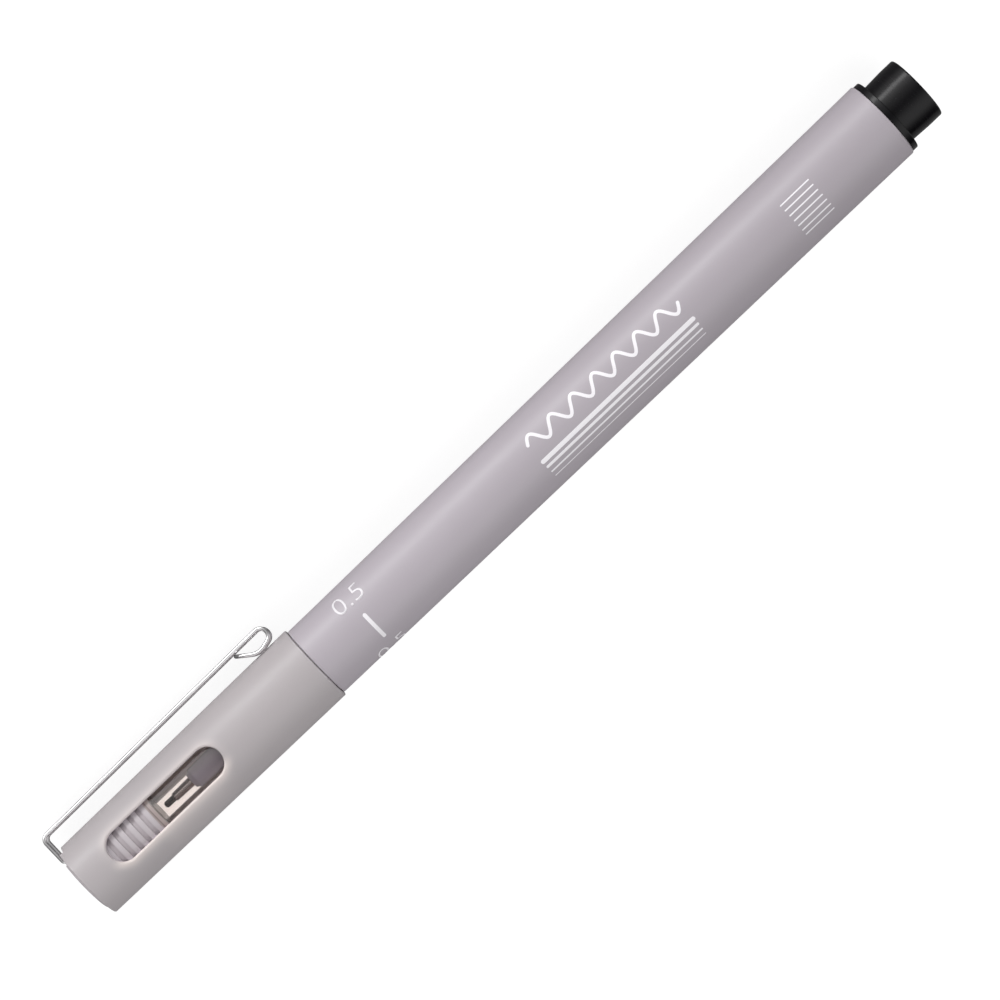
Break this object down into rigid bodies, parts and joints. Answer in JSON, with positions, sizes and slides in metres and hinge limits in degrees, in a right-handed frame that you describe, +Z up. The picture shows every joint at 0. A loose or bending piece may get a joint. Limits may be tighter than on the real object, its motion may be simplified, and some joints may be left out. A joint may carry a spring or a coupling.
{
  "type": "fineliner pen",
  "caption": "Capped fineliner pen: tapered grey barrel with a black tail plug, fibre nib in a steel sleeve, and a pull-off cap with a see-through window and a sprung wire clip.",
  "frame": {"origin": "centre of the tail face, on the pen's axis", "axes": "+X along the pen towards the nib; +Z up, with the pen lying on its barrel and on the wire clip"},
  "size_m": [0.1402, 0.0134, 0.011],
  "materials": {
    "barrel_grey": "satin moulded",
    "section_grey": "satin moulded",
    "sleeve_steel": "drawn, polished",
    "nib_fibre": "ink-soaked fibre",
    "reservoir_fibre": "ink-soaked fibre",
    "reservoir_wrap": "thin film",
    "plug_black": "glossy",
    "cap_grey": "satin moulded",
    "inner_cap_clear": "clear",
    "crown_grey": "satin moulded",
    "clip_steel": "polished wire"
  },
  "bodies": {
    "barrel": {"barrel": "barrel_grey", "tail_plug": "plug_black", "front_section": "section_grey", "nib_sleeve": "sleeve_steel", "fibre_nib": "nib_fibre", "ink_reservoir": "reservoir_fibre", "reservoir_film": "reservoir_wrap"},
    "cap": {"cap_shell": "cap_grey", "inner_cap": "inner_cap_clear", "cap_crown": "crown_grey"},
    "clip": {"clip": "clip_steel"}
  },
  "joints": [
    {"name": "cap_pull", "type": "slide", "parent": "barrel", "child": "cap", "axis": [1, 0, 0], "range_m": [0, 0.04]},
    {"name": "clip_flex", "type": "hinge", "parent": "cap", "child": "clip", "pos_m": [0.13997, -0.00297, -0.00162], "axis": [0, -0.4781, 0.8783], "range_deg": [0, 5], "stiffness_Nm_per_rad": 0.1, "springref_deg": -2.86}
  ]
}
